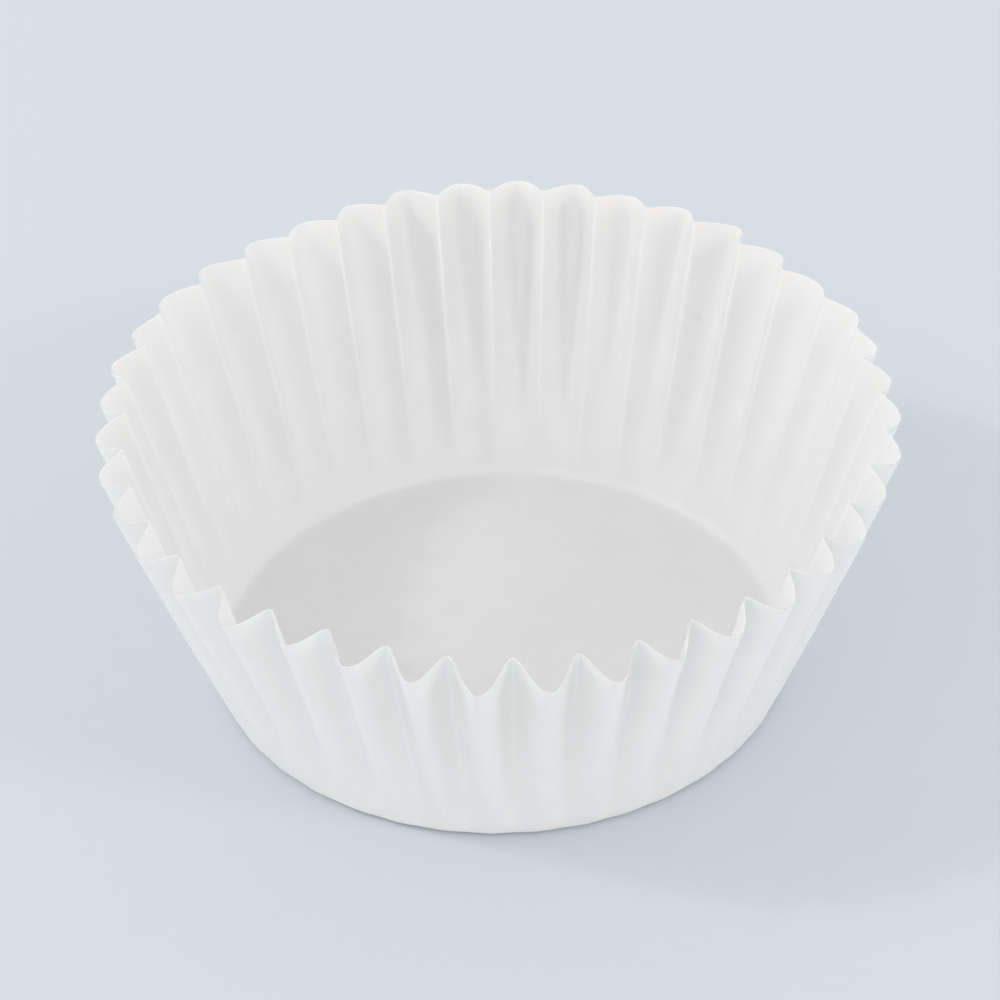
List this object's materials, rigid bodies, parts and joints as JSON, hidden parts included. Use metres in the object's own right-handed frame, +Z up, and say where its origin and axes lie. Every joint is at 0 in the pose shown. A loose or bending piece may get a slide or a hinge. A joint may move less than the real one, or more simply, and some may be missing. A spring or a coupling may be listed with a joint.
{
  "type": "cupcake liner",
  "caption": "Fluted paper baking cup with a flat round bottom and a flared, pleated wall, open at the top.",
  "frame": {"origin": "centre of the underside of the flat bottom, on the surface that the liner stands on", "axes": "+Z up through the open mouth, along the axis of the cup; -Y towards the side that the picture shows in front"},
  "size_m": [0.0685, 0.071, 0.0271],
  "materials": {
    "greaseproof_paper": "smooth matte white greaseproof paper, slightly translucent"
  },
  "bodies": {
    "root": {"paper_liner": "greaseproof_paper"}
  },
  "joints": []
}
